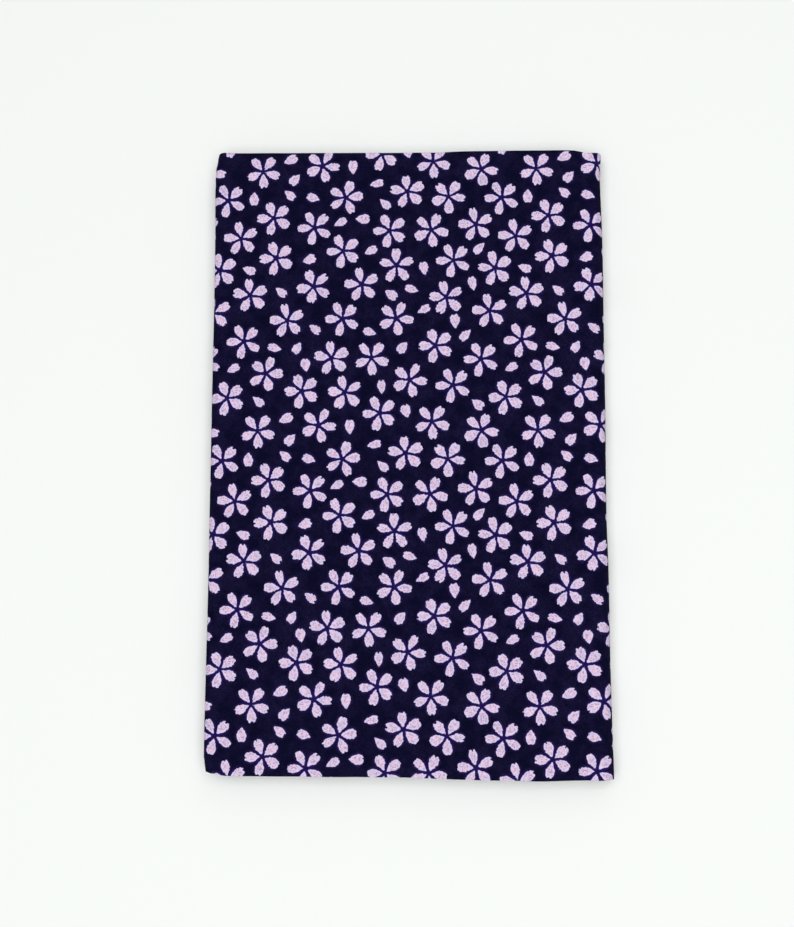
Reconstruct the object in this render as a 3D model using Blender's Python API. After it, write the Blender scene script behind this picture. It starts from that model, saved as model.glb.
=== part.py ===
"""Folded tenugui towel, one length of thin printed cotton, modelled as it lies folded.

The cloth is doubled along its length and then folded by halves three times. Its eight doubled panels
make one unbroken section that runs back and forth, with four folds nested at the spine. That section is
drawn once across X and carried along Y, where the edges waver as they do on the real towel.

Units are metres and +Z is up. The origin is at the middle of the underside. The face is the top panel,
and the spine, which holds the nested folds, is at +X.
"""

import math
from collections import namedtuple

import bpy
from mathutils import Vector

MM = 0.001

# Driving sizes
CLOTH_LENGTH = 0.900
CLOTH_WIDTH = 0.360
PANEL_COUNT = 8
SHEET = 0.0010  # the doubled cloth, with the air that it holds
AIR_GAP = 0.0002  # between one panel and the next

# Sizes that follow from them
FOLDED_X = CLOTH_LENGTH / PANEL_COUNT
FOLDED_Y = CLOTH_WIDTH / 2
HALF_X = FOLDED_X / 2
HALF_Y = FOLDED_Y / 2
PITCH = SHEET + AIR_GAP
TIGHT_BEND = PITCH / 2  # the smallest fold, whose two panels lie next to each other
SPINE_PRESS = 0.9  # how far the nested folds are pressed together sideways, against their pitch

# Which side of the towel a fold is on
SPINE = 1
OPEN_SIDE = -1

# The panels in their order along the cloth. The level counts up from the underside, and the other
# columns say how far a panel stops short of the far and the near short end, in millimetres.
Panel = namedtuple("Panel", "level far_in near_in")
PANELS = (
    Panel(0, 0.3, 0.5),
    Panel(7, 0.0, 0.0),
    Panel(4, 0.5, 0.3),
    Panel(3, 0.8, 0.6),
    Panel(2, 0.6, 0.9),
    Panel(5, 0.4, 0.5),
    Panel(6, 0.2, 0.3),
    Panel(1, 0.5, 0.2),
)

# The fold after each panel but the last. Folds that lie one inside another share a middle, which the
# outermost of them sets: nest is how many levels that one spans. Each is set back by set_in, in
# millimetres. A squareness of 2 is round, and more is flatter, as a pressed fold is.
Fold = namedtuple("Fold", "side nest set_in squareness steps")
FOLDS = (
    Fold(SPINE, 7, 0.00, 2.6, 14),
    Fold(OPEN_SIDE, 3, 0.00, 2.3, 10),
    Fold(SPINE, 7, 0.35, 2.0, 6),
    Fold(OPEN_SIDE, 1, 0.70, 2.0, 6),
    Fold(SPINE, 7, 0.20, 2.3, 8),
    Fold(OPEN_SIDE, 3, 0.25, 2.0, 6),
    Fold(SPINE, 7, 0.08, 2.5, 12),
)

# How far the two cut ends of the cloth lie in from the open side, in millimetres
FIRST_END_IN = 0.4
LAST_END_IN = 1.3

# Sections along Y, in millimetres. The columns give how far each long edge is drawn in there, or spread
# out where the figure is negative, and how full the stack stands. The cloth is narrowest and flattest at
# its waist, and its open side is drawn in at both corners.
Section = namedtuple("Section", "y open_in spine_in fullness")
SECTIONS = (
    Section(-90.0, 0.85, -0.38, 0.975),
    Section(-88.5, 0.42, -0.48, 0.980),
    Section(-85.0, 0.28, -0.33, 0.990),
    Section(-74.0, 0.30, -0.18, 1.000),
    Section(-56.0, 0.42, -0.02, 0.998),
    Section(-34.0, 0.55, -0.07, 0.985),
    Section(-17.0, 0.48, 0.16, 0.962),
    Section(-1.0, 0.50, 0.03, 0.955),
    Section(16.0, 0.50, -0.15, 0.965),
    Section(40.0, 0.60, -0.20, 0.990),
    Section(64.0, 0.55, -0.30, 1.000),
    Section(80.0, 0.30, 0.00, 0.996),
    Section(85.0, 0.40, -0.02, 0.990),
    Section(88.2, 0.75, -0.35, 0.982),
    Section(90.0, 1.15, -0.40, 0.975),
)

# The short ends across X, in millimetres. The columns give how far the far and the near end are drawn
# in, or spread out where the figure is negative. Both ends run slightly askew: the far one is longest
# at the open side, and the near one beside the spine.
End = namedtuple("End", "x far_in near_in")
ENDS = (
    End(-56.25, 0.05, 2.10),
    End(-53.5, 0.24, 1.45),
    End(-51.0, 0.43, 1.05),
    End(-46.0, 0.55, 0.80),
    End(-31.0, 0.77, 0.68),
    End(-8.0, 1.15, 0.50),
    End(3.0, 1.24, 0.38),
    End(9.0, 1.33, 0.30),
    End(14.0, 1.18, 0.12),
    End(20.0, 1.20, 0.02),
    End(30.0, 1.30, -0.22),
    End(36.0, 1.34, -0.35),
    End(44.0, 1.47, -0.15),
    End(48.0, 1.60, 0.00),
    End(52.0, 2.50, -0.15),
    End(56.25, 1.90, -0.10),
)

# The cloth's finish
CLOTH_COLOUR = (0.0060, 0.0052, 0.0262, 1.0)
CLOTH_ROUGHNESS = 0.92
SHARP_ANGLE = math.radians(50)

# A point of the section: its place, the sheet's normal there, and its shortfall at the short ends
SectionPoint = namedtuple("SectionPoint", "x z normal far_in near_in")


def clear_scene():
    """Removes every object that the scene starts with."""
    for item in list(bpy.data.objects):
        bpy.data.objects.remove(item, do_unlink=True)


def between(a, b, share):
    """The value that lies a share of the way from a to b."""
    return a + (b - a) * share


def drawn_in(x_mm, column):
    """How far a short end is drawn in at a place across X, read between the rows of its table."""
    if x_mm <= ENDS[0].x:
        return getattr(ENDS[0], column)
    for low, high in zip(ENDS, ENDS[1:]):
        if x_mm <= high.x:
            share = (x_mm - low.x) / (high.x - low.x)
            return between(getattr(low, column), getattr(high, column), share)
    return getattr(ENDS[-1], column)


def level_height(level):
    """The height of the middle of the sheet at a level of the stack."""
    return SHEET / 2 + level * PITCH


def fold_reach(span):
    """How far a fold over a number of levels bulges past the panels that it joins."""
    return TIGHT_BEND + (span - 1) * PITCH / 2 * SPINE_PRESS


def fold_start(fold):
    """Where along X a fold leaves the flat panels."""
    edge = HALF_X - SHEET / 2 - fold.set_in * MM
    return fold.side * (edge - fold_reach(fold.nest))


def panel_ends(index):
    """Where along X a panel starts and stops, in its own direction."""
    first_end = -HALF_X + FIRST_END_IN * MM
    last_end = -HALF_X + LAST_END_IN * MM
    start = first_end if index == 0 else fold_start(FOLDS[index - 1])
    stop = last_end if index == PANEL_COUNT - 1 else fold_start(FOLDS[index])
    return start, stop


def panel_points(index):
    """The section's points along one flat panel."""
    panel = PANELS[index]
    start, stop = panel_ends(index)
    low, high = min(start, stop), max(start, stop)
    places = [low, *(row.x * MM for row in ENDS if low + MM < row.x * MM < high - MM), high]
    heading = 1 if stop > start else -1
    normal = Vector((0.0, 0.0, heading))
    height = level_height(panel.level)
    return [SectionPoint(x, height, normal, panel.far_in, panel.near_in) for x in places[::heading]]


def signed_power(value, power):
    """A power that keeps the sign of its base."""
    return math.copysign(abs(value) ** power, value)


def fold_points(index):
    """The section's points round one fold, between the two panels that it joins."""
    fold, before, after = FOLDS[index], PANELS[index], PANELS[index + 1]
    span = abs(after.level - before.level)
    reach, half = fold_reach(span), span * PITCH / 2
    start = fold_start(fold)
    first, last = level_height(before.level), level_height(after.level)
    middle = (first + last) / 2
    turns_left = fold.side * (last - first) > 0
    points = []
    for step in range(1, fold.steps):
        angle = math.pi * step / fold.steps
        along = signed_power(math.cos(angle), 2 / fold.squareness)
        out = signed_power(math.sin(angle), 2 / fold.squareness)
        rise = along * math.copysign(1.0, first - middle)
        outward = Vector(
            (
                fold.side * out ** (fold.squareness - 1) / reach,
                0.0,
                signed_power(rise, fold.squareness - 1) / half,
            )
        ).normalized()
        share = step / fold.steps
        points.append(
            SectionPoint(
                start + fold.side * reach * out,
                middle + half * rise,
                -outward if turns_left else outward,
                between(before.far_in, after.far_in, share),
                between(before.near_in, after.near_in, share),
            )
        )
    return points


def cloth_section():
    """The whole section, from the cloth's first cut end to its last, as points of the sheet's middle."""
    points = []
    for index in range(PANEL_COUNT):
        points.extend(panel_points(index))
        if index < len(FOLDS):
            points.extend(fold_points(index))
    return points


def placed(point, section, side):
    """The corner of the sheet beside a point, at one section along Y."""
    corner = Vector((point.x, 0.0, point.z)) + side * SHEET / 2 * point.normal
    across = (corner.x + HALF_X) / FOLDED_X
    along = (section.y * MM + HALF_Y) / FOLDED_Y
    near = -HALF_Y + (point.near_in + drawn_in(corner.x / MM, "near_in")) * MM
    far = HALF_Y - (point.far_in + drawn_in(corner.x / MM, "far_in")) * MM
    return (
        corner.x + (section.open_in * (1 - across) - section.spine_in * across) * MM,
        between(near, far, along),
        corner.z * section.fullness,
    )


def sheet_faces(rows, columns):
    """The faces of a closed sheet whose corners come section by section, upper side then lower side."""
    side = rows * columns

    def upper(row, column):
        return row * columns + column

    def lower(row, column):
        return side + row * columns + column

    faces = []
    for row in range(rows - 1):
        for column in range(columns - 1):
            corners = ((row, column), (row, column + 1), (row + 1, column + 1), (row + 1, column))
            faces.append([upper(*corner) for corner in corners])
            faces.append([lower(*corner) for corner in reversed(corners)])
    for row in range(rows - 1):
        for column, order in ((0, 1), (columns - 1, -1)):
            rim = [upper(row, column), upper(row + 1, column), lower(row + 1, column), lower(row, column)]
            faces.append(rim[::order])
    for column in range(columns - 1):
        for row, order in ((0, -1), (rows - 1, 1)):
            rim = [upper(row, column), upper(row, column + 1), lower(row, column + 1), lower(row, column)]
            faces.append(rim[::order])
    return faces


def cloth_material():
    """Matte dyed cotton."""
    material = bpy.data.materials.new("dyed_cotton")
    material.use_nodes = True
    shader = material.node_tree.nodes["Principled BSDF"]
    shader.inputs["Base Color"].default_value = CLOTH_COLOUR
    shader.inputs["Roughness"].default_value = CLOTH_ROUGHNESS
    shader.inputs["Metallic"].default_value = 0.0
    return material


def make_folded_cloth():
    """The towel's one piece, as a closed sheet in eight panels."""
    points = cloth_section()
    corners = []
    for side in (1, -1):
        for section in SECTIONS:
            corners.extend(placed(point, section, side) for point in points)
    mesh = bpy.data.meshes.new("folded_cloth")
    mesh.from_pydata(corners, [], sheet_faces(len(SECTIONS), len(points)))
    mesh.validate()
    mesh.materials.append(cloth_material())
    mesh.shade_smooth()
    mesh.set_sharp_from_angle(angle=SHARP_ANGLE)
    cloth = bpy.data.objects.new("folded_cloth", mesh)
    bpy.context.scene.collection.objects.link(cloth)
    return cloth


clear_scene()
make_folded_cloth()
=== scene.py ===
"""Looks of a folded tenugui towel, one length of thin printed cotton that lies folded on a pale floor.

The cloth is one sheet, 0.90 m by 0.36 m. It is doubled along its length over a fold at the far end, and
then runs back and forth through eight panels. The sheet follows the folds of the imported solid, whose one
thick layer stands for two plies and the air between them. The print is a common scattered cherry blossom
repeat, charted motif by motif to half a millimetre.

Units are metres and +Z is up. The face is the top panel, and the spine of nested folds is at +X.
"""

import logging
import math
from bisect import bisect_right
from dataclasses import dataclass, field
from enum import Enum

import bpy
from mathutils import Euler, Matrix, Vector


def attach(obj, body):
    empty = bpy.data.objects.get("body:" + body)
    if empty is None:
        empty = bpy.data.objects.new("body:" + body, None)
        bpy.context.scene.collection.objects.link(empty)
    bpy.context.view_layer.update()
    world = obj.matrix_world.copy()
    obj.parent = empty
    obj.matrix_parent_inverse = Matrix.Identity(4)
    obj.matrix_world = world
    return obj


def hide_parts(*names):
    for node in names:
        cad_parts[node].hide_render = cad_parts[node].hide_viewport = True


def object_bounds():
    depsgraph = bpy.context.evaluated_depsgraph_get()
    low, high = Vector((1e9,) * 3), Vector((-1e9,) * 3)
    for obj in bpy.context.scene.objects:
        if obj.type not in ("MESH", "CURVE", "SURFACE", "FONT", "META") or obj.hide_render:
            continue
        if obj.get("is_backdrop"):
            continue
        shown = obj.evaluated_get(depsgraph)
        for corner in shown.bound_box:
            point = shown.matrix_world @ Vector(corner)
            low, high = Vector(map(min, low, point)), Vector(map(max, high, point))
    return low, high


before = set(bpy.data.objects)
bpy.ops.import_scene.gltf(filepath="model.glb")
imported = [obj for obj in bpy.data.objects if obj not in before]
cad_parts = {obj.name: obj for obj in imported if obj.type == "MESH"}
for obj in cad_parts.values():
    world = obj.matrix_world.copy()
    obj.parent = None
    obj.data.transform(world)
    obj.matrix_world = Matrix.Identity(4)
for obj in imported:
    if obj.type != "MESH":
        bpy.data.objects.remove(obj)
CAD_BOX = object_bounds()

LOG = logging.getLogger("tenugui")
MM = 0.001

# The cloth as it is cut, and the size that its panels fold down to
CLOTH_LENGTH = 0.900
CLOTH_WIDTH = 0.360
PANEL_COUNT = 8
FOLDED_X = CLOTH_LENGTH / PANEL_COUNT
FOLDED_Y = CLOTH_WIDTH / 2
HALF_X = FOLDED_X / 2
HALF_Y = FOLDED_Y / 2

# The layers of the stack: a layer is the doubled cloth, and a ply is one thickness of it
LAYER = 0.0010
AIR_GAP = 0.0002
PITCH = LAYER + AIR_GAP
PLY = 0.00036
PLY_SPREAD = 0.00027


class Side(Enum):
    """The two long edges of the folded towel, by the way that each faces along X."""

    SPINE = 1
    OPEN = -1


class Ply(Enum):
    """The two plies of the doubled cloth: the outer has the near selvedge that the cloth starts from."""

    OUTER = "outer"
    INNER = "inner"


@dataclass(frozen=True)
class Profile:
    """A measure that changes smoothly from place to place, held as a row of places and their values."""

    places: tuple[float, ...]
    values: tuple[float, ...]

    def slope(self, index: int) -> float:
        """The measure's slope at one of its places."""
        low, high = max(index - 1, 0), min(index + 1, len(self.places) - 1)
        return (self.values[high] - self.values[low]) / (self.places[high] - self.places[low])

    def at(self, place: float) -> float:
        """Reads the measure between its places, on a smooth curve.

        Args:
            place: Where to read it. Past either end it keeps the value there.

        Returns:
            The value there.
        """
        if place <= self.places[0]:
            return self.values[0]
        if place >= self.places[-1]:
            return self.values[-1]
        low = bisect_right(self.places, place) - 1
        gap = self.places[low + 1] - self.places[low]
        t = (place - self.places[low]) / gap
        rise = self.values[low + 1] - self.values[low]
        start, stop = self.slope(low) * gap, self.slope(low + 1) * gap
        bow = t * (1 - t) * ((1 - t) * (start - rise) - t * (stop - rise))
        return self.values[low] + rise * t + bow


@dataclass(frozen=True)
class Panel:
    """One flat run of the doubled cloth, by its level in the stack and its shortfalls in millimetres."""

    level: int
    far_in: float
    near_in: float


@dataclass(frozen=True)
class Fold:
    """The turn after a panel, set back by set_in millimetres.

    Folds that lie one inside another share a middle, which the outermost of them sets: nest is how many
    levels that one spans. A squareness of 2 is round, and more is flatter, as a pressed fold is.
    """

    side: Side
    nest: int
    set_in: float
    squareness: float
    steps: int


@dataclass(frozen=True)
class PathPoint:
    """A point of the cloth's path: its place, the layer's normal and its shortfalls at the ends."""

    x: float
    z: float
    normal: Vector
    far_in: float
    near_in: float


PANELS = (
    Panel(0, 0.3, 0.5),
    Panel(7, 0.0, 0.0),
    Panel(4, 0.5, 0.3),
    Panel(3, 0.8, 0.6),
    Panel(2, 0.6, 0.9),
    Panel(5, 0.4, 0.5),
    Panel(6, 0.2, 0.3),
    Panel(1, 0.5, 0.2),
)

FOLDS = (
    Fold(Side.SPINE, 7, 0.00, 2.6, 20),
    Fold(Side.OPEN, 3, 0.00, 2.3, 14),
    Fold(Side.SPINE, 7, 0.35, 2.0, 8),
    Fold(Side.OPEN, 1, 0.70, 2.0, 8),
    Fold(Side.SPINE, 7, 0.20, 2.3, 12),
    Fold(Side.OPEN, 3, 0.25, 2.0, 8),
    Fold(Side.SPINE, 7, 0.08, 2.5, 16),
)

# How far each long edge is drawn in, in millimetres, and how full the stack stands, at places along Y
STATION_Y = (-90, -88.5, -85, -74, -56, -34, -17, -1, 16, 40, 64, 80, 85, 88.2, 90)
OPEN_IN = Profile(
    STATION_Y,
    (0.85, 0.42, 0.28, 0.30, 0.42, 0.55, 0.48, 0.50, 0.50, 0.60, 0.55, 0.30, 0.40, 0.75, 1.15),
)
SPINE_IN = Profile(
    STATION_Y,
    (-0.38, -0.48, -0.33, -0.18, -0.02, -0.07, 0.16, 0.03, -0.15, -0.2, -0.3, 0, -0.02, -0.35, -0.4),
)
FULLNESS = Profile(
    STATION_Y,
    (0.975, 0.98, 0.99, 1, 0.998, 0.985, 0.962, 0.955, 0.965, 0.99, 1, 0.996, 0.99, 0.982, 0.975),
)

# How far each short end is drawn in, in millimetres, at places along X
END_X = (-56.25, -53.5, -51, -46, -31, -8, 3, 9, 14, 20, 30, 36, 44, 48, 52, 56.25)
FAR_IN = Profile(
    END_X,
    (0.05, 0.24, 0.43, 0.55, 0.77, 1.15, 1.24, 1.33, 1.18, 1.20, 1.30, 1.34, 1.47, 1.60, 2.50, 1.90),
)
NEAR_IN = Profile(
    END_X,
    (2.1, 1.45, 1.05, 0.8, 0.68, 0.5, 0.38, 0.3, 0.12, 0.02, -0.22, -0.35, -0.15, 0, -0.15, -0.1),
)


def between(a: float, b: float, share: float) -> float:
    """The value that lies a share of the way from a to b."""
    return a + (b - a) * share


def signed_power(value: float, power: float) -> float:
    """A power that keeps the sign of its base."""
    return math.copysign(abs(value) ** power, value)


def screen_colour(red: int, green: int, blue: int) -> tuple[float, float, float, float]:
    """Turns a colour as a screen shows it into the linear colour that a shader takes.

    Args:
        red: The red part, from 0 to 255.
        green: The green part, from 0 to 255.
        blue: The blue part, from 0 to 255.

    Returns:
        The linear colour, with full cover.
    """

    def linear(part: int) -> float:
        """One part of the colour, made linear."""
        value = part / 255
        return value / 12.92 if value <= 0.04045 else ((value + 0.055) / 1.055) ** 2.4

    return (linear(red), linear(green), linear(blue), 1.0)


@dataclass(frozen=True)
class FoldPath:
    """The cloth's path through its eight panels and seven folds, seen along Y."""

    panels: tuple[Panel, ...] = PANELS
    folds: tuple[Fold, ...] = FOLDS
    spine_press: float = 0.9
    first_end_in: float = 0.4
    last_end_in: float = 1.3
    panel_columns: int = 30

    def level_height(self, level: int) -> float:
        """The height of the middle of the layer at a level of the stack."""
        return LAYER / 2 + level * PITCH

    def fold_reach(self, span: int) -> float:
        """How far a fold over a number of levels bulges past the panels that it joins."""
        return PITCH / 2 + (span - 1) * PITCH / 2 * self.spine_press

    def fold_start(self, fold: Fold) -> float:
        """Where along X a fold leaves the flat panels."""
        edge = HALF_X - LAYER / 2 - fold.set_in * MM
        return fold.side.value * (edge - self.fold_reach(fold.nest))

    def panel_ends(self, index: int) -> tuple[float, float]:
        """Finds where along X a panel starts and stops.

        Args:
            index: The panel's number along the cloth.

        Returns:
            The start and the stop, in the panel's own direction.
        """
        start = -HALF_X + self.first_end_in * MM
        stop = -HALF_X + self.last_end_in * MM
        if index > 0:
            start = self.fold_start(self.folds[index - 1])
        if index < len(self.folds):
            stop = self.fold_start(self.folds[index])
        return start, stop

    def panel_points(self, index: int) -> list[PathPoint]:
        """Draws the path along one flat panel.

        Args:
            index: The panel's number along the cloth.

        Returns:
            The points, evenly spaced from the panel's start to its stop.
        """
        panel = self.panels[index]
        start, stop = self.panel_ends(index)
        normal = Vector((0.0, 0.0, math.copysign(1.0, stop - start)))
        height = self.level_height(panel.level)
        shares = [step / self.panel_columns for step in range(self.panel_columns + 1)]
        return [
            PathPoint(between(start, stop, share), height, normal, panel.far_in, panel.near_in)
            for share in shares
        ]

    def fold_points(self, index: int) -> list[PathPoint]:
        """Draws the path round one fold, between the two panels that it joins.

        Args:
            index: The fold's number along the cloth.

        Returns:
            The points, without the two that belong to the panels.
        """
        fold, before, after = self.folds[index], self.panels[index], self.panels[index + 1]
        side = fold.side.value
        span = abs(after.level - before.level)
        reach, half = self.fold_reach(span), span * PITCH / 2
        start = self.fold_start(fold)
        first, last = self.level_height(before.level), self.level_height(after.level)
        middle = (first + last) / 2
        facing = -1.0 if side * (last - first) > 0 else 1.0
        points = []
        for step in range(1, fold.steps):
            angle = math.pi * step / fold.steps
            out = signed_power(math.sin(angle), 2 / fold.squareness)
            along = signed_power(math.cos(angle), 2 / fold.squareness)
            rise = along * math.copysign(1.0, first - middle)
            away = side * out ** (fold.squareness - 1) / reach
            up = signed_power(rise, fold.squareness - 1) / half
            share = step / fold.steps
            points.append(
                PathPoint(
                    start + side * reach * out,
                    middle + half * rise,
                    facing * Vector((away, 0.0, up)).normalized(),
                    between(before.far_in, after.far_in, share),
                    between(before.near_in, after.near_in, share),
                )
            )
        return points

    def points(self) -> list[PathPoint]:
        """Draws the whole path, from the cloth's first cut end to its last."""
        path: list[PathPoint] = []
        for index in range(len(self.panels)):
            path.extend(self.panel_points(index))
            if index < len(self.folds):
                path.extend(self.fold_points(index))
        return path

    def runs(self, path: list[PathPoint]) -> list[float]:
        """Finds how far along the cloth each point lies, counted from the middle of the top panel.

        Args:
            path: The path's points.

        Returns:
            The distance for each point, negative before the top panel's middle.
        """
        run = [0.0]
        for here, there in zip(path, path[1:]):
            run.append(run[-1] + math.hypot(there.x - here.x, there.z - here.z))
        on_top = self.panel_columns + self.folds[0].steps
        middle = run[on_top] + path[on_top].x
        return [distance - middle for distance in run]


@dataclass(frozen=True)
class Row:
    """One row of the sheet's mesh: its ply, its share of the way to the far end and its turn there."""

    ply: Ply
    along: float
    turn: float


@dataclass(frozen=True)
class Corner:
    """One corner of the sheet's mesh, and its place on the flat cloth as the face would show it."""

    place: Vector
    cloth_x: float
    cloth_y: float


@dataclass
class FoldedTowel:
    """The towel: one thin closed sheet, doubled over its far fold and folded in eight panels.

    Each of the edge waves is a length in metres, a share of the ripple and a factor on the phase. The
    broad swell is a length and a phase each way, and the small one is a length each way and one phase.
    """

    path: FoldPath = field(default_factory=FoldPath)
    ply_rows: int = 46
    turn_steps: int = 8
    inner_short: float = 0.55
    ripple: float = 0.10
    edge_waves: tuple[tuple[float, float, float], ...] = (
        (0.0131, 1.0, 1.0),
        (0.0057, 0.6, 2.3),
        (0.0023, 0.35, 4.1),
    )
    near_phase: float = 0.4
    inner_ripple: float = 1.6
    inner_phase: float = 2.9
    far_ripple: float = 0.5
    far_phase: float = 5.2
    swell: float = 0.004
    broad_swell: tuple[tuple[float, float], tuple[float, float]] = ((0.019, 0.7), (0.027, 1.1))
    small_swell: tuple[float, float, float] = (0.008, 0.021, 2.0)
    small_share: float = 0.5
    sharp_angle: float = math.radians(50)

    def rows(self) -> list[Row]:
        """Lists the sheet's rows, from one selvedge over the far fold to the other."""
        shares = [row / self.ply_rows for row in range(self.ply_rows + 1)]
        turns = [math.pi * step / self.turn_steps for step in range(1, self.turn_steps)]
        outer = [Row(Ply.OUTER, share, 0.0) for share in shares]
        turning = [Row(Ply.OUTER, 1.0, turn) for turn in turns]
        inner = [Row(Ply.INNER, share, math.pi) for share in reversed(shares)]
        return outer + turning + inner

    def waver(self, run: float, phase: float) -> float:
        """Gives an edge a small uneven wander, which differs all along the cloth.

        Args:
            run: How far along the cloth, in metres.
            phase: A number that sets one edge apart from another.

        Returns:
            The wander, in metres.
        """
        waves = (share * math.sin(run / length + turn * phase) for length, share, turn in self.edge_waves)
        return sum(waves) * self.ripple * MM

    def fullness(self, x: float, y: float) -> float:
        """Finds how full the stack stands, with the soft swells and hollows of cloth at rest.

        Args:
            x: The place across, in metres.
            y: The place along, in metres.

        Returns:
            The share of the full height, near 1.
        """
        (across, phase_across), (along, phase_along) = self.broad_swell
        broad = math.sin(x / across + phase_across) * math.sin(y / along + phase_along)
        across, along, phase = self.small_swell
        small = self.small_share * math.sin(x / across + y / along + phase)
        return FULLNESS.at(y / MM) + self.swell * (broad + small)

    def drawn_across(self, x: float, y: float) -> float:
        """Finds how far a point moves across because the long edges are drawn in.

        Args:
            x: The place across, in metres.
            y: The place along, in metres.

        Returns:
            The move along X, in metres.
        """
        across = (x + HALF_X) / FOLDED_X
        return (OPEN_IN.at(y / MM) * (1 - across) - SPINE_IN.at(y / MM) * across) * MM

    def corner(self, point: PathPoint, run: float, row: Row, spread: float) -> Corner:
        """Places one corner of the mesh.

        Args:
            point: The path's point that the corner belongs to.
            run: How far along the cloth that point lies.
            row: The mesh's row.
            spread: How far this face of the sheet lies from the layer's middle.

        Returns:
            The corner.
        """
        offset = -spread * math.cos(row.turn)
        x = point.x + offset * point.normal.x
        z = point.z + offset * point.normal.z
        near = -HALF_Y + (point.near_in + NEAR_IN.at(x / MM)) * MM + self.waver(run, self.near_phase)
        if row.ply is Ply.INNER:
            near += self.inner_short * MM + self.inner_ripple * self.waver(run, self.inner_phase)
        fold_in = (point.far_in + FAR_IN.at(x / MM)) * MM + PLY_SPREAD + PLY / 2
        far = HALF_Y - fold_in + self.far_ripple * self.waver(run, self.far_phase)
        y = between(near, far, row.along)
        level_y = between(-HALF_Y, HALF_Y, row.along)
        shift = self.drawn_across(x, level_y)
        place = Vector((x + shift, y + spread * math.sin(row.turn), z * self.fullness(x, level_y)))
        cloth_y = y + PLY_SPREAD * row.turn
        if row.ply is Ply.INNER:
            cloth_y = 2 * far + PLY_SPREAD * math.pi - y
        return Corner(place, shift - run, cloth_y)

    def grid_faces(self, rows: int, columns: int) -> list[list[int]]:
        """Lists the faces of the closed sheet, whose inner side's corners come before its outer side's.

        Args:
            rows: How many rows of corners a side has.
            columns: How many columns of corners a side has.

        Returns:
            Each face as its corners' numbers, turning left about its outward normal.
        """
        side = rows * columns
        faces = []

        def corners(steps: tuple[tuple[int, int], ...], base: int) -> list[int]:
            """The numbers of the corners at these rows and columns."""
            return [base + row * columns + column for row, column in steps]

        for row in range(rows - 1):
            for column in range(columns - 1):
                square = ((row, column), (row, column + 1), (row + 1, column + 1), (row + 1, column))
                faces.append(corners(square, 0))
                faces.append(corners(square[::-1], side))
        for row in range(rows - 1):
            for column, order in ((0, 1), (columns - 1, -1)):
                edge = ((row, column), (row + 1, column))
                faces.append((corners(edge, 0) + corners(edge[::-1], side))[::order])
        for column in range(columns - 1):
            for row, order in ((0, -1), (rows - 1, 1)):
                edge = ((row, column), (row, column + 1))
                faces.append((corners(edge, 0) + corners(edge[::-1], side))[::order])
        return faces

    def build(self, cotton: "PrintedCotton") -> bpy.types.Object:
        """Makes the sheet as one mesh, with its two maps of the flat cloth.

        Args:
            cotton: The printed cotton that it is made of.

        Returns:
            The towel's object.
        """
        path, rows = self.path.points(), self.rows()
        runs = self.path.runs(path)
        corners = [
            self.corner(point, run, row, spread)
            for spread in (PLY_SPREAD - PLY / 2, PLY_SPREAD + PLY / 2)
            for row in rows
            for point, run in zip(path, runs)
        ]
        mesh = bpy.data.meshes.new("tenugui_cloth")
        mesh.from_pydata(
            [corner.place for corner in corners], [], self.grid_faces(len(rows), len(path))
        )
        self.map_cloth(mesh, corners, cotton.chart)
        mesh.materials.append(cotton.build())
        mesh.shade_smooth()
        mesh.set_sharp_from_angle(angle=self.sharp_angle)
        towel = bpy.data.objects.new("tenugui_cloth", mesh)
        bpy.context.scene.collection.objects.link(towel)
        LOG.info("%s: %d faces", towel.name, len(mesh.polygons))
        return towel

    def map_cloth(
        self, mesh: bpy.types.Mesh, corners: list[Corner], chart: "BlossomChart"
    ) -> None:
        """Gives the mesh a map in the chart's millimetres, and one that counts whole repeats.

        Args:
            mesh: The sheet's mesh.
            corners: Its corners, in the mesh's order.
            chart: The print that is laid on the cloth.
        """
        charted = [chart.from_cloth(corner.cloth_x, corner.cloth_y) for corner in corners]
        cloth_map = mesh.uv_layers.new(name="cloth")
        repeat_map = mesh.uv_layers.new(name="OFBake")
        for loop in mesh.loops:
            across, along = charted[loop.vertex_index]
            cloth_map.data[loop.index].uv = (across, along)
            repeat_map.data[loop.index].uv = (across / chart.width, along / chart.height)
        mesh.uv_layers.active = cloth_map


class Motif(Enum):
    """What is printed at a place of the chart."""

    BLOSSOM = "blossom"
    PETAL = "petal"


@dataclass(frozen=True)
class Spot:
    """A printed motif: its middle in the chart, in millimetres, and its turn, in degrees.

    A blossom's turn is where one of its petals points. A loose petal's turn runs from base to tip.
    """

    x: float
    y: float
    turn: float


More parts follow.
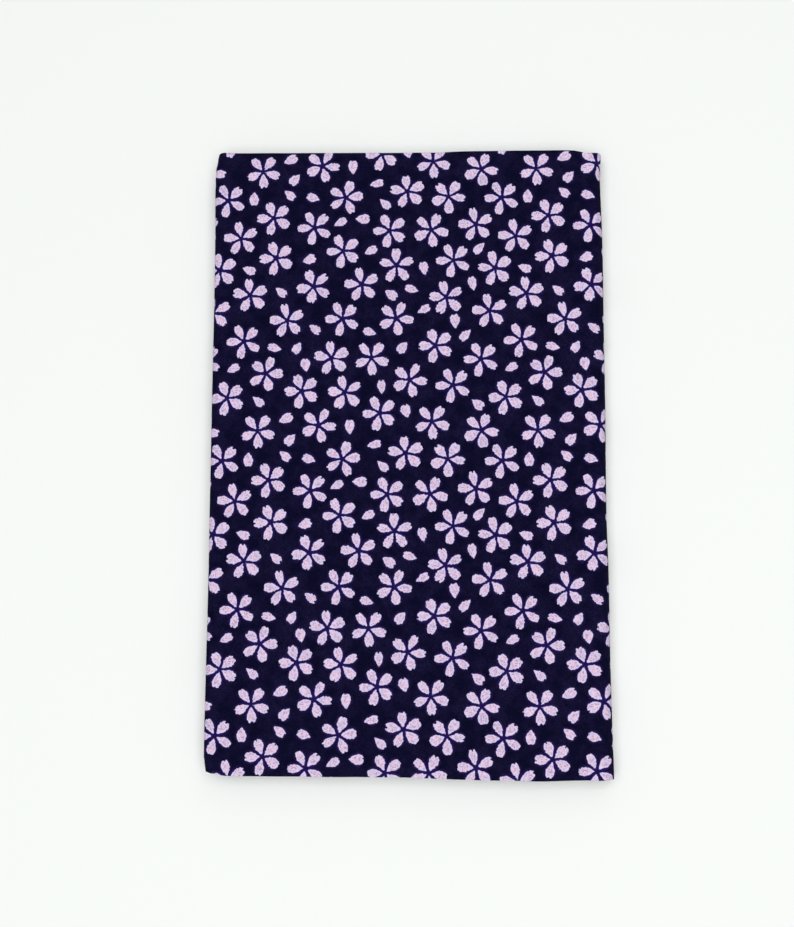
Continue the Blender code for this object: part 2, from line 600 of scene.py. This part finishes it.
@dataclass(frozen=True)
class BlossomChart:
    """The repeat of the print, charted on a cell of width by height millimetres.

    Each motif's place is kept to half a millimetre and its turn to a degree. The repeat on the cloth is
    slightly narrower than the cell, and lies a little askew of the cut edges.
    """

    width: float = 80.0
    height: float = 76.6
    cloth_repeat: tuple[float, float] = (79.23, 76.69)
    askew: float = math.radians(0.42)
    shift: tuple[float, float] = (-0.88, 0.44)
    blossoms: tuple[Spot, ...] = (
        Spot(61, 75.5, 4),
        Spot(26.5, 75, 42),
        Spot(11, 75.5, 60),
        Spot(40, 69.5, 41),
        Spot(19, 67, 28),
        Spot(52, 66.5, 42),
        Spot(74, 65.5, 40),
        Spot(6, 65.5, 61),
        Spot(30.5, 63.5, 28),
        Spot(60.5, 59.5, 40),
        Spot(41, 57.5, 41),
        Spot(12.5, 56.5, 42),
        Spot(76, 55, 24),
        Spot(24.5, 54, 30),
        Spot(66, 49.5, 28),
        Spot(52, 49, 44),
        Spot(33.5, 46.5, 29),
        Spot(10.5, 45.5, 32),
        Spot(23, 41.5, 28),
        Spot(76, 39.5, 63),
        Spot(44.5, 39, 28),
        Spot(60.5, 39.5, 42),
        Spot(32, 33, 42),
        Spot(7.5, 31.5, 41),
        Spot(57.5, 28, 29),
        Spot(69, 28, 58),
        Spot(20.5, 27.5, 42),
        Spot(38.5, 23.5, 69),
        Spot(80, 21.5, 65),
        Spot(12.5, 20, 42),
        Spot(49, 18.5, 41),
        Spot(61.5, 18, 32),
        Spot(27.5, 16.5, 41),
        Spot(71.5, 12, 40),
        Spot(6.5, 9.5, 58),
        Spot(54, 8.5, 65),
        Spot(20.5, 7, 66),
        Spot(36.5, 7, 58),
        Spot(79, 0.5, 29),
    )
    petals: tuple[Spot, ...] = (
        Spot(44.5, 76.5, 318),
        Spot(51.5, 75.5, 160),
        Spot(34, 75.5, 270),
        Spot(72.5, 73.5, 317),
        Spot(66, 69, 358),
        Spot(59.5, 68, 30),
        Spot(20, 60, 226),
        Spot(68.5, 59.5, 27),
        Spot(50.5, 57, 20),
        Spot(4, 54, 102),
        Spot(33, 54, 338),
        Spot(18, 49.5, 102),
        Spot(0.5, 48, 162),
        Spot(42.5, 47.5, 322),
        Spot(74.5, 46.5, 323),
        Spot(4, 42, 29),
        Spot(13, 38.5, 95),
        Spot(52.5, 36.5, 322),
        Spot(68.5, 35.5, 162),
        Spot(16, 34.5, 226),
        Spot(78, 31, 228),
        Spot(41, 31, 165),
        Spot(47.5, 31, 238),
        Spot(50, 26, 100),
        Spot(29, 25, 28),
        Spot(72, 19.5, 92),
        Spot(36.5, 15.5, 319),
        Spot(19.5, 14.5, 323),
        Spot(79, 12.5, 108),
        Spot(44.5, 10.5, 26),
        Spot(63, 8, 91),
        Spot(46, 4.5, 228),
        Spot(70, 3, 12),
    )

    def from_cloth(self, x: float, y: float) -> tuple[float, float]:
        """Finds the chart's place for a place on the cloth.

        Args:
            x: The place across the cloth as its face shows it, in metres.
            y: The place along it, in metres.

        Returns:
            The place in the chart, in millimetres, not yet brought into its first cell.
        """
        level_x = x * math.cos(self.askew) - y * math.sin(self.askew)
        level_y = y * math.cos(self.askew) + x * math.sin(self.askew)
        return (
            level_x / MM * self.width / self.cloth_repeat[0] + self.shift[0],
            level_y / MM * self.height / self.cloth_repeat[1] + self.shift[1],
        )

    def spots(self, motif: Motif) -> tuple[Spot, ...]:
        """The places of one kind of motif."""
        return self.blossoms if motif is Motif.BLOSSOM else self.petals


Value = float | bpy.types.NodeSocket
Place = tuple[float, float, float] | bpy.types.NodeSocket


@dataclass
class NodeBench:
    """Adds nodes to one node tree, so that a material reads as a list of steps."""

    tree: bpy.types.NodeTree

    def feed(self, socket: bpy.types.NodeSocket, value: object) -> None:
        """Links a socket to another one, or sets it to a plain value.

        Args:
            socket: The input that is fed.
            value: Another node's output, or the value.
        """
        if isinstance(value, bpy.types.NodeSocket):
            self.tree.links.new(value, socket)
        else:
            socket.default_value = value

    def add(self, kind: str, **settings: object) -> bpy.types.Node:
        """Adds a node.

        Args:
            kind: The node's type.
            settings: Its own settings, by name.

        Returns:
            The node.
        """
        node = self.tree.nodes.new(kind)
        for name, value in settings.items():
            setattr(node, name, value)
        return node

    def maths(self, operation: str, *values: Value, clamp: bool = False) -> bpy.types.NodeSocket:
        """Adds a sum on plain numbers.

        Args:
            operation: The Math node's operation.
            values: Its inputs, in order.
            clamp: Whether the answer is kept from 0 to 1.

        Returns:
            The answer's socket.
        """
        node = self.add("ShaderNodeMath", operation=operation, use_clamp=clamp)
        for socket, value in zip(node.inputs, values):
            self.feed(socket, value)
        return node.outputs[0]

    def vector(self, operation: str, *values: Place) -> bpy.types.NodeSocket:
        """Adds a sum on places.

        Args:
            operation: The Vector Math node's operation.
            values: Its inputs, in order.

        Returns:
            The answer's socket, a number for a length and a place otherwise.
        """
        node = self.add("ShaderNodeVectorMath", operation=operation)
        for socket, value in zip(node.inputs, values):
            self.feed(socket, value)
        return node.outputs["Value" if operation == "LENGTH" else "Vector"]

    def add_times(self, value: Value, factor: Value, more: Value) -> bpy.types.NodeSocket:
        """Multiplies a number by a factor and adds more to it."""
        return self.maths("MULTIPLY_ADD", value, factor, more)

    def times(self, value: Value, factor: Value) -> bpy.types.NodeSocket:
        """Multiplies two numbers."""
        return self.maths("MULTIPLY", value, factor)

    def minus(self, value: Value, other: Value) -> bpy.types.NodeSocket:
        """Takes one number from another."""
        return self.maths("SUBTRACT", value, other)

    def scaled(self, place: Place, size: Value) -> bpy.types.NodeSocket:
        """Multiplies a place or a colour by one number."""
        node = self.add("ShaderNodeVectorMath", operation="SCALE")
        self.feed(node.inputs[0], place)
        self.feed(node.inputs["Scale"], size)
        return node.outputs[0]

    def split(self, place: Place) -> tuple[bpy.types.NodeSocket, ...]:
        """Takes a place apart into its three numbers."""
        node = self.add("ShaderNodeSeparateXYZ")
        self.feed(node.inputs[0], place)
        return tuple(node.outputs)

    def join(self, x: Value, y: Value, z: Value = 0.0) -> bpy.types.NodeSocket:
        """Puts three numbers together as a place.

        Args:
            x: The first number.
            y: The second number.
            z: The third number.

        Returns:
            The place's socket.
        """
        node = self.add("ShaderNodeCombineXYZ")
        for socket, value in zip(node.inputs, (x, y, z)):
            self.feed(socket, value)
        return node.outputs[0]

    def ramp(self, value: Value, low: Value, high: Value) -> bpy.types.NodeSocket:
        """Turns a number into a smooth step.

        Args:
            value: The number.
            low: Where the step starts from 0.
            high: Where it reaches 1.

        Returns:
            The step's socket.
        """
        node = self.add("ShaderNodeMapRange", interpolation_type="SMOOTHSTEP")
        for name, part in (("Value", value), ("From Min", low), ("From Max", high)):
            self.feed(node.inputs[name], part)
        return node.outputs["Result"]

    def blend(self, share: Value, first: object, second: object) -> bpy.types.NodeSocket:
        """Mixes two colours.

        Args:
            share: How much of the second there is.
            first: The first colour, or its socket.
            second: The second colour, or its socket.

        Returns:
            The mixed colour's socket.
        """
        node = self.add("ShaderNodeMix", data_type="RGBA", blend_type="MIX", clamp_factor=True)
        self.feed(node.inputs["Factor"], share)
        self.feed(node.inputs[6], first)
        self.feed(node.inputs[7], second)
        return node.outputs[2]

    def chance(self, place: Place) -> tuple[bpy.types.NodeSocket, ...]:
        """Draws three fixed chance numbers from 0 to 1 for a place."""
        node = self.add("ShaderNodeTexWhiteNoise", noise_dimensions="3D")
        self.feed(node.inputs["Vector"], place)
        parts = self.add("ShaderNodeSeparateColor")
        self.feed(parts.inputs[0], node.outputs["Color"])
        return tuple(parts.outputs)


@dataclass(frozen=True)
class PrintInk:
    """The print's colours: the dyed ground, the lines round the petals, and the petals themselves."""

    ground: tuple[float, float, float, float] = screen_colour(13, 12, 41)
    ground_worn: tuple[float, float, float, float] = screen_colour(27, 23, 57)
    ground_deep: tuple[float, float, float, float] = screen_colour(7, 6, 30)
    outline: tuple[float, float, float, float] = screen_colour(37, 24, 75)
    line: tuple[float, float, float, float] = screen_colour(38, 22, 92)
    rim: tuple[float, float, float, float] = screen_colour(217, 205, 240)
    heart: tuple[float, float, float, float] = screen_colour(229, 199, 224)
    pale: tuple[float, float, float, float] = screen_colour(209, 195, 222)
    speck: tuple[float, float, float, float] = screen_colour(146, 112, 158)


@dataclass(frozen=True)
class PetalShape:
    """One petal, in millimetres: pointed at its base, widest past its middle, and notched at its tip.

    The outline gives the half width, as a share of the full one, at shares of the petal's length. The
    notch's cut starts notch_depth from the tip, or up to notch_spread deeper, wanders across by up to
    notch_wander in all, and opens by notch_slope. The leans turn a distance along the petal into the
    distance from its slanting edge. The last two say how much single threads and soft bumps move the edge.
    """

    length: float = 4.28
    loose_length: float = 3.90
    half_width: float = 1.235
    base_out: float = 0.75
    outline: tuple[tuple[float, float], ...] = (
        (0.0, 0.0),
        (0.08, 0.22),
        (0.20, 0.48),
        (0.36, 0.78),
        (0.55, 0.98),
        (0.72, 0.98),
        (0.88, 0.78),
        (1.0, 0.50),
    )
    notch_depth: float = 0.18
    notch_spread: float = 0.38
    notch_wander: float = 0.7
    notch_slope: float = 0.95
    notch_lean: float = 0.6
    base_lean: float = 0.5
    turn_spread: float = math.radians(5)
    size_spread: float = 0.05
    width_spread: float = 0.13
    jagged: float = 0.24
    bumpy: float = 0.38


@dataclass(frozen=True)
class Mottling:
    """A soft patchiness: the size of its patches in millimetres, and the step that it is turned into."""

    grain: float
    low: float = 0.0
    high: float = 1.0


@dataclass(frozen=True)
class Wear:
    """How ink and use vary the print.

    A step is a pair of places that a soft edge runs between: millimetres inside a petal's outline for the
    halo, the rim and the edge, millimetres from a blossom's middle for the centre, and a chance number
    for the specks. A share says how strongly each one shows. The grain is how much finer than the threads
    the specks are.
    """

    faded: Mottling = Mottling(4.0, 0.35, 0.70)
    mottled: Mottling = Mottling(1.2, 0.42, 0.62)
    bumps: Mottling = Mottling(0.8)
    deep_share: float = 0.8
    centre_step: tuple[float, float] = (1.4, 3.8)
    centre_share: float = 0.3
    halo_step: tuple[float, float] = (-0.85, -0.20)
    halo_share: float = 0.8
    speck_step: tuple[float, float] = (0.55, 0.92)
    speck_share: float = 0.58
    rim_step: tuple[float, float] = (0.12, 0.50)
    edge_step: tuple[float, float] = (-0.08, 0.10)
    grain: float = 1.5
    thread_dark: float = 0.90
    thread_range: float = 0.16


@dataclass(frozen=True)
class Weave:
    """The plain weave: how many threads cross a repeat each way, how high they stand and dip."""

    across: int = 176
    along: int = 168
    height: float = 0.00007
    dip: float = 0.35


@dataclass(frozen=True)
class PrintedCotton:
    """Matte plain-weave cotton with the scattered blossom print.

    A motif counts within its reach, in millimetres. Its turn in degrees travels with its offset as a tag,
    which is the turn over tag_scale on top of a base that tells a motif from bare ground.
    """

    chart: BlossomChart = field(default_factory=BlossomChart)
    ink: PrintInk = field(default_factory=PrintInk)
    petal: PetalShape = field(default_factory=PetalShape)
    wear: Wear = field(default_factory=Wear)
    weave: Weave = field(default_factory=Weave)
    roughness: float = 0.92
    specular: float = 0.03
    sheen: float = 0.0
    reach: float = 5.09
    loose_reach: float = 2.34
    tag: float = 0.1
    tag_scale: float = 3600.0
    outside: float = -9.0
    loose_number: float = 9.0

    def build(self) -> bpy.types.Material:
        """Makes the material.

        Returns:
            The material, whose pattern repeats exactly once in each cell of the chart.
        """
        material = bpy.data.materials.new("printed_cotton")
        material.use_nodes = True
        bench = NodeBench(material.node_tree)
        shader = material.node_tree.nodes["Principled BSDF"]
        shader.inputs["Roughness"].default_value = self.roughness
        shader.inputs["Specular IOR Level"].default_value = self.specular
        shader.inputs["Sheen Weight"].default_value = self.sheen
        cloth = bench.add("ShaderNodeUVMap", uv_map="cloth").outputs[0]
        place = bench.vector(
            "WRAP", cloth, (self.chart.width, self.chart.height, 1.0), (0.0, 0.0, -1.0)
        )
        threads = self.thread_numbers(bench, place)
        colour = self.printed(bench, place, threads)
        bench.feed(shader.inputs["Base Color"], colour)
        bench.feed(shader.inputs["Normal"], self.woven(bench, threads))
        return material

    def thread_numbers(self, bench: NodeBench, place: Place) -> tuple[bpy.types.NodeSocket, ...]:
        """Counts threads across and along the cell.

        Args:
            bench: The material's nodes.
            place: The place in the chart's cell.

        Returns:
            The count each way, with its fraction.
        """
        x, y, _ = bench.split(place)
        return (
            bench.times(x, self.weave.across / self.chart.width),
            bench.times(y, self.weave.along / self.chart.height),
        )

    def cloud(self, bench: NodeBench, place: Place, grain: float) -> bpy.types.NodeSocket:
        """Makes a soft unevenness that meets itself at the cell's edges.

        Args:
            bench: The material's nodes.
            place: The place in the chart's cell.
            grain: About how many millimetres one patch measures.

        Returns:
            The unevenness as a socket, around 0.5.
        """
        x, y, _ = bench.split(place)
        across = bench.times(x, 2 * math.pi / self.chart.width)
        along = bench.times(y, 2 * math.pi / self.chart.height)
        noise = bench.add("ShaderNodeTexNoise", noise_dimensions="4D")
        ring = bench.join(
            bench.maths("COSINE", across), bench.maths("SINE", across), bench.maths("COSINE", along)
        )
        bench.feed(noise.inputs["Vector"], ring)
        bench.feed(noise.inputs["W"], bench.maths("SINE", along))
        noise.inputs["Scale"].default_value = self.chart.width / (2 * math.pi * grain)
        return noise.outputs[0]

    def patches(self, bench: NodeBench, place: Place, kind: Mottling) -> bpy.types.NodeSocket:
        """Turns one kind of mottling into a share from 0 to 1."""
        return bench.ramp(self.cloud(bench, place, kind.grain), kind.low, kind.high)

    def nearest(self, bench: NodeBench, place: Place, motif: Motif) -> bpy.types.NodeSocket:
        """Finds the motif that a place lies in.

        Each motif adds its own offset where the place is within its reach. The discs don't overlap, so
        the sum is the offset from the one motif there. Its third number holds the motif's turn, and is
        0 where there is no motif.

        Args:
            bench: The material's nodes.
            place: The place in the chart's cell.
            motif: Which kind of motif.

        Returns:
            The offset's socket.
        """
        half = (self.chart.width / 2, self.chart.height / 2, 10.0)
        minus_half = (-self.chart.width / 2, -self.chart.height / 2, -10.0)
        reach = self.reach if motif is Motif.BLOSSOM else self.loose_reach
        total: Place = (0.0, 0.0, 0.0)
        for spot in self.chart.spots(motif):
            tag = self.tag + spot.turn / self.tag_scale
            offset = bench.vector("SUBTRACT", place, (spot.x, spot.y, -tag))
            offset = bench.vector("WRAP", offset, half, minus_half)
            here = bench.maths("LESS_THAN", bench.vector("LENGTH", offset), reach)
            total = bench.vector("ADD", bench.scaled(offset, here), total)
        return total

    def turn_of(self, bench: NodeBench, tag: Value) -> bpy.types.NodeSocket:
        """Reads a motif's turn, in radians, from its tag."""
        return bench.times(bench.minus(tag, self.tag), math.radians(self.tag_scale))

    def petal_depth(
        self, bench: NodeBench, along: Value, across: Value, chance: Value
    ) -> bpy.types.NodeSocket:
        """Finds how deep inside a petal's outline a place lies.

        Args:
            bench: The material's nodes.
            along: The place along the petal from its base, in millimetres.
            across: The place across it.
            chance: The chance number that sets this petal's notch.

        Returns:
            The depth's socket in millimetres, negative outside.
        """
        petal = self.petal
        outline = bench.add("ShaderNodeFloatCurve")
        curve = outline.mapping.curves[0]
        curve.points[0].location, curve.points[1].location = petal.outline[0], petal.outline[-1]
        for x, y in petal.outline[1:-1]:
            curve.points.new(x, y)
        outline.mapping.update()
        bench.feed(outline.inputs["Value"], bench.maths("DIVIDE", along, petal.length))
        width = bench.times(outline.outputs[0], petal.half_width)
        from_side = bench.minus(width, bench.maths("ABSOLUTE", across))

        to_side = bench.add_times(chance, petal.notch_wander, -petal.notch_wander / 2)
        from_cut = bench.maths("ABSOLUTE", bench.maths("ADD", across, to_side))
        other_chance = bench.maths("FRACT", bench.times(chance, 7.0))
        cut = bench.add_times(other_chance, -petal.notch_spread, petal.length - petal.notch_depth)
        tip = bench.add_times(from_cut, petal.notch_slope, cut)
        depth = from_side
        for limit in (
            bench.times(bench.minus(tip, along), petal.notch_lean),
            bench.minus(petal.length, along),
            bench.times(along, petal.base_lean),
        ):
            depth = bench.maths("MINIMUM", depth, limit)
        return depth

    def only_there(
        self, bench: NodeBench, tag: Value, depth: bpy.types.NodeSocket
    ) -> bpy.types.NodeSocket:
        """Puts a depth far outside any petal where no motif is in reach.

        Args:
            bench: The material's nodes.
            tag: The motif's tag, which is 0 where there is none.
            depth: The depth inside the motif's petals.

        Returns:
            The depth's socket.
        """
        absent = bench.maths("LESS_THAN", tag, self.tag / 2)
        return bench.add_times(absent, self.outside, depth)

    def blossom_depth(self, bench: NodeBench, offset: Place) -> bpy.types.NodeSocket:
        """Finds how deep inside the petals of a blossom a place lies.

        Args:
            bench: The material's nodes.
            offset: The offset from the blossom's middle, with its tag.

        Returns:
            The depth's socket in millimetres, negative outside.
        """
        x, y, tag = bench.split(offset)
        fifth = 2 * math.pi / 5
        radius = bench.vector("LENGTH", bench.join(x, y))
        angle = bench.minus(bench.maths("ARCTAN2", y, x), self.turn_of(bench, tag))
        number = bench.maths("ROUND", bench.maths("DIVIDE", angle, fifth))
        own = bench.add_times(number, -fifth, angle)
        which = bench.maths("WRAP", number, 5.0, 0.0)
        turn_chance, size_chance, width_chance = self.motif_chance(bench, tag, which)
        own = bench.add_times(bench.minus(turn_chance, 0.5), 2 * self.petal.turn_spread, own)
        along = bench.minus(bench.times(radius, bench.maths("COSINE", own)), self.petal.base_out)
        along = bench.times(along, self.uneven(bench, size_chance, self.petal.size_spread))
        across = bench.times(radius, bench.maths("SINE", own))
        across = bench.times(across, self.uneven(bench, width_chance, self.petal.width_spread))
        return self.only_there(bench, tag, self.petal_depth(bench, along, across, width_chance))

    def loose_depth(self, bench: NodeBench, offset: Place) -> bpy.types.NodeSocket:
        """Finds how deep inside a loose petal a place lies.

        Args:
            bench: The material's nodes.
            offset: The offset from the petal's middle, with its tag.

        Returns:
            The depth's socket in millimetres, negative outside.
        """
        x, y, tag = bench.split(offset)
        turn = self.turn_of(bench, tag)
        cosine, sine = bench.maths("COSINE", turn), bench.maths("SINE", turn)
        along = bench.add_times(x, cosine, bench.times(y, sine))
        across = bench.minus(bench.times(y, cosine), bench.times(x, sine))
        _, size_chance, width_chance = self.motif_chance(bench, tag, self.loose_number)
        short = self.uneven(bench, size_chance, self.petal.size_spread)
        short = bench.times(short, self.petal.length / self.petal.loose_length)
        along = bench.add_times(along, short, self.petal.length / 2)
        across = bench.times(across, self.uneven(bench, width_chance, self.petal.width_spread))
        return self.only_there(bench, tag, self.petal_depth(bench, along, across, size_chance))

    def motif_chance(
        self, bench: NodeBench, tag: Value, which: Value
    ) -> tuple[bpy.types.NodeSocket, ...]:
        """Draws the chance numbers that set one petal apart from the next.

        Args:
            bench: The material's nodes.
            tag: The motif's tag.
            which: The petal's number in its blossom, or the number that stands for a loose one.

        Returns:
            Three sockets, each from 0 to 1.
        """
        rounded = bench.maths("ROUND", bench.times(tag, self.tag_scale))
        return bench.chance(bench.join(rounded, which, 3.0))

    def uneven(self, bench: NodeBench, chance: Value, spread: float) -> bpy.types.NodeSocket:
        """Turns a chance number into a size about 1."""
        return bench.add_times(chance, 2 * spread, 1 - spread)

    def printed(
        self, bench: NodeBench, place: Place, threads: tuple[bpy.types.NodeSocket, ...]
    ) -> bpy.types.NodeSocket:
        """Prints the blossoms and the loose petals on the dyed ground.

        Args:
            bench: The material's nodes.
            place: The place in the chart's cell.
            threads: The thread counts each way.

        Returns:
            The colour's socket.
        """
        wear = self.wear
        blossom = self.nearest(bench, place, Motif.BLOSSOM)
        loose = self.nearest(bench, place, Motif.PETAL)
        crossing = bench.join(*(bench.maths("FLOOR", count) for count in threads), 1.0)
        edge_chance, _, shade_chance = bench.chance(crossing)
        finer = (bench.maths("FLOOR", bench.times(count, wear.grain)) for count in threads)
        speck_chance, ground_chance, _ = bench.chance(bench.join(*finer, 2.0))

        depth = bench.maths(
            "MAXIMUM", self.blossom_depth(bench, blossom), self.loose_depth(bench, loose)
        )
        depth = bench.add_times(bench.minus(edge_chance, 0.5), self.petal.jagged, depth)
        bumps = bench.minus(self.cloud(bench, place, wear.bumps.grain), 0.5)
        depth = bench.add_times(bumps, self.petal.bumpy, depth)

        ground = self.dyed_ground(bench, place, ground_chance)
        ground = self.lined(bench, ground, blossom, depth)
        petal = self.petal_ink(bench, place, depth, speck_chance)
        colour = bench.blend(bench.ramp(depth, *wear.edge_step), ground, petal)
        shade = bench.add_times(shade_chance, wear.thread_range, wear.thread_dark)
        return bench.scaled(colour, shade)

    def dyed_ground(self, bench: NodeBench, place: Place, chance: Value) -> bpy.types.NodeSocket:
        """Colours the open ground, faded in soft patches and deeper at chance threads.

        Args:
            bench: The material's nodes.
            place: The place in the chart's cell.
            chance: The chance number of the spot.

        Returns:
            The colour's socket.
        """
        faded = self.patches(bench, place, self.wear.faded)
        ground = bench.blend(faded, self.ink.ground, self.ink.ground_worn)
        return bench.blend(bench.times(chance, self.wear.deep_share), ground, self.ink.ground_deep)

    def lined(
        self,
        bench: NodeBench,
        ground: bpy.types.NodeSocket,
        blossom: Place,
        depth: bpy.types.NodeSocket,
    ) -> bpy.types.NodeSocket:
        """Draws the violet lines round the petals, strongest in a blossom's middle.

        Args:
            bench: The material's nodes.
            ground: The ground's colour.
            blossom: The offset from the nearest blossom's middle, with its tag.
            depth: The depth inside the petals, negative outside.

        Returns:
            The colour's socket.
        """
        x, y, tag = bench.split(blossom)
        radius = bench.vector("LENGTH", bench.join(x, y))
        in_blossom = bench.maths("GREATER_THAN", tag, self.tag / 2)
        away = bench.ramp(radius, *self.wear.centre_step)
        centre = bench.maths("SUBTRACT", in_blossom, away, clamp=True)
        ground = bench.blend(bench.times(centre, self.wear.centre_share), ground, self.ink.line)
        outline = bench.blend(centre, self.ink.outline, self.ink.line)
        halo = bench.times(bench.ramp(depth, *self.wear.halo_step), self.wear.halo_share)
        return bench.blend(halo, ground, outline)

    def petal_ink(
        self, bench: NodeBench, place: Place, depth: bpy.types.NodeSocket, chance: Value
    ) -> bpy.types.NodeSocket:
        """Colours the petals: a cool rim round a mottled and finely specked heart.

        Args:
            bench: The material's nodes.
            place: The place in the chart's cell.
            depth: The depth inside the petals.
            chance: The chance number of the spot.

        Returns:
            The colour's socket.
        """
        heart = bench.blend(
            self.patches(bench, place, self.wear.mottled), self.ink.heart, self.ink.pale
        )
        specked = bench.times(bench.ramp(chance, *self.wear.speck_step), self.wear.speck_share)
        heart = bench.blend(specked, heart, self.ink.speck)
        return bench.blend(bench.ramp(depth, *self.wear.rim_step), self.ink.rim, heart)

    def woven(
        self, bench: NodeBench, threads: tuple[bpy.types.NodeSocket, ...]
    ) -> bpy.types.NodeSocket:
        """Raises the threads of the plain weave, each over one and under the next.

        Args:
            bench: The material's nodes.
            threads: The thread counts each way.

        Returns:
            The normal's socket.
        """
        heights = []
        for one, other, phase in ((threads[0], threads[1], 0.0), (threads[1], threads[0], math.pi)):
            rounding = bench.maths("ABSOLUTE", bench.maths("SINE", bench.times(one, math.pi)))
            passing = bench.maths("ADD", bench.maths("FLOOR", one), other)
            wave = bench.maths("SINE", bench.add_times(passing, math.pi, phase))
            level = bench.add_times(wave, self.weave.dip, 1 - self.weave.dip)
            heights.append(bench.times(rounding, level))
        bump = bench.add("ShaderNodeBump")
        bench.feed(bump.inputs["Height"], bench.maths("MAXIMUM", *heights))
        bump.inputs["Strength"].default_value = 1.0
        bump.inputs["Distance"].default_value = self.weave.height
        return bump.outputs[0]


@dataclass
class Studio:
    """The pale floor, the soft light and the camera above the towel."""

    floor_size: float = 3.0
    floor_colour: tuple[float, float, float, float] = (0.884, 0.912, 0.888, 1.0)
    lens: float = 60.0
    camera_place: tuple[float, float, float] = (0.02229, -0.07296, 0.43697)
    camera_turn: tuple[float, float, float] = (9.29, 3.31, 0.04)
    glow: float = 0.30

    def floor(self) -> bpy.types.Object:
        """Lays the floor, level with the towel's underside."""
        bpy.ops.object.select_all(action="DESELECT")
        bpy.ops.mesh.primitive_grid_add(x_subdivisions=4, y_subdivisions=4, size=self.floor_size)
        floor = bpy.context.object
        floor.name = "floor"
        material = bpy.data.materials.new("pale_floor")
        material.use_nodes = True
        shader = material.node_tree.nodes["Principled BSDF"]
        shader.inputs["Base Color"].default_value = self.floor_colour
        shader.inputs["Roughness"].default_value = 0.8
        shader.inputs["Specular IOR Level"].default_value = 0.1
        floor.data.materials.append(material)
        floor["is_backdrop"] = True
        return floor

    def light(
        self, name: str, place: tuple[float, float, float], size: float, power: float
    ) -> bpy.types.Object:
        """Hangs one soft square light that faces the towel.

        Args:
            name: The light's name.
            place: Where it hangs, in metres.
            size: The length of its side, in metres.
            power: Its power, in watts.

        Returns:
            The light.
        """
        lamp = bpy.data.lights.new(name, "AREA")
        lamp.shape = "SQUARE"
        lamp.size = size
        lamp.energy = power
        hung = bpy.data.objects.new(name, lamp)
        hung.location = place
        hung.rotation_euler = (-Vector(place)).to_track_quat("-Z", "Y").to_euler()
        bpy.context.scene.collection.objects.link(hung)
        return hung

    def camera(self) -> bpy.types.Object:
        """Sets the camera above the towel, a little to its right and towards its near end.

        Returns:
            The camera.
        """
        lens = bpy.data.cameras.new("camera")
        lens.lens = self.lens
        lens.clip_start = 0.01
        camera = bpy.data.objects.new("camera", lens)
        camera.location = self.camera_place
        camera.rotation_euler = Euler([math.radians(turn) for turn in self.camera_turn])
        bpy.context.scene.collection.objects.link(camera)
        bpy.context.scene.camera = camera
        return camera

    def surroundings(self) -> None:
        """Fills the studio with even pale light."""
        world = bpy.data.worlds.new("studio")
        world.use_nodes = True
        background = world.node_tree.nodes["Background"]
        background.inputs["Color"].default_value = (1.0, 1.0, 1.0, 1.0)
        background.inputs["Strength"].default_value = self.glow
        bpy.context.scene.world = world
        bpy.context.scene.view_settings.view_transform = "Standard"

    def build(self) -> None:
        """Sets up the whole studio."""
        self.floor()
        self.light("overhead", place=(0.03, -0.18, 1.28), size=1.15, power=15.0)
        self.light("fill", place=(0.3, 0.6, 1.0), size=0.8, power=1.0)
        self.surroundings()
        self.camera()


def write_sizes() -> None:
    """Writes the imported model's box and the dressed model's box, to compare."""
    boxes = {"cad": CAD_BOX, "visual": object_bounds()}
    plain = {name: [list(low), list(high)] for name, (low, high) in boxes.items()}
    for name, (low, high) in plain.items():
        spans = ", ".join(f"{(b - a) / MM:.1f}" for a, b in zip(low, high))
        LOG.info("%s box: %s mm", name, spans)


def main() -> None:
    """Builds the towel and the studio round it."""
    towel = FoldedTowel().build(PrintedCotton())
    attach(towel, "root")
    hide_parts("folded_cloth")
    Studio().build()
    write_sizes()


if __name__ == "__main__":
    logging.basicConfig(level=logging.INFO)
    main()
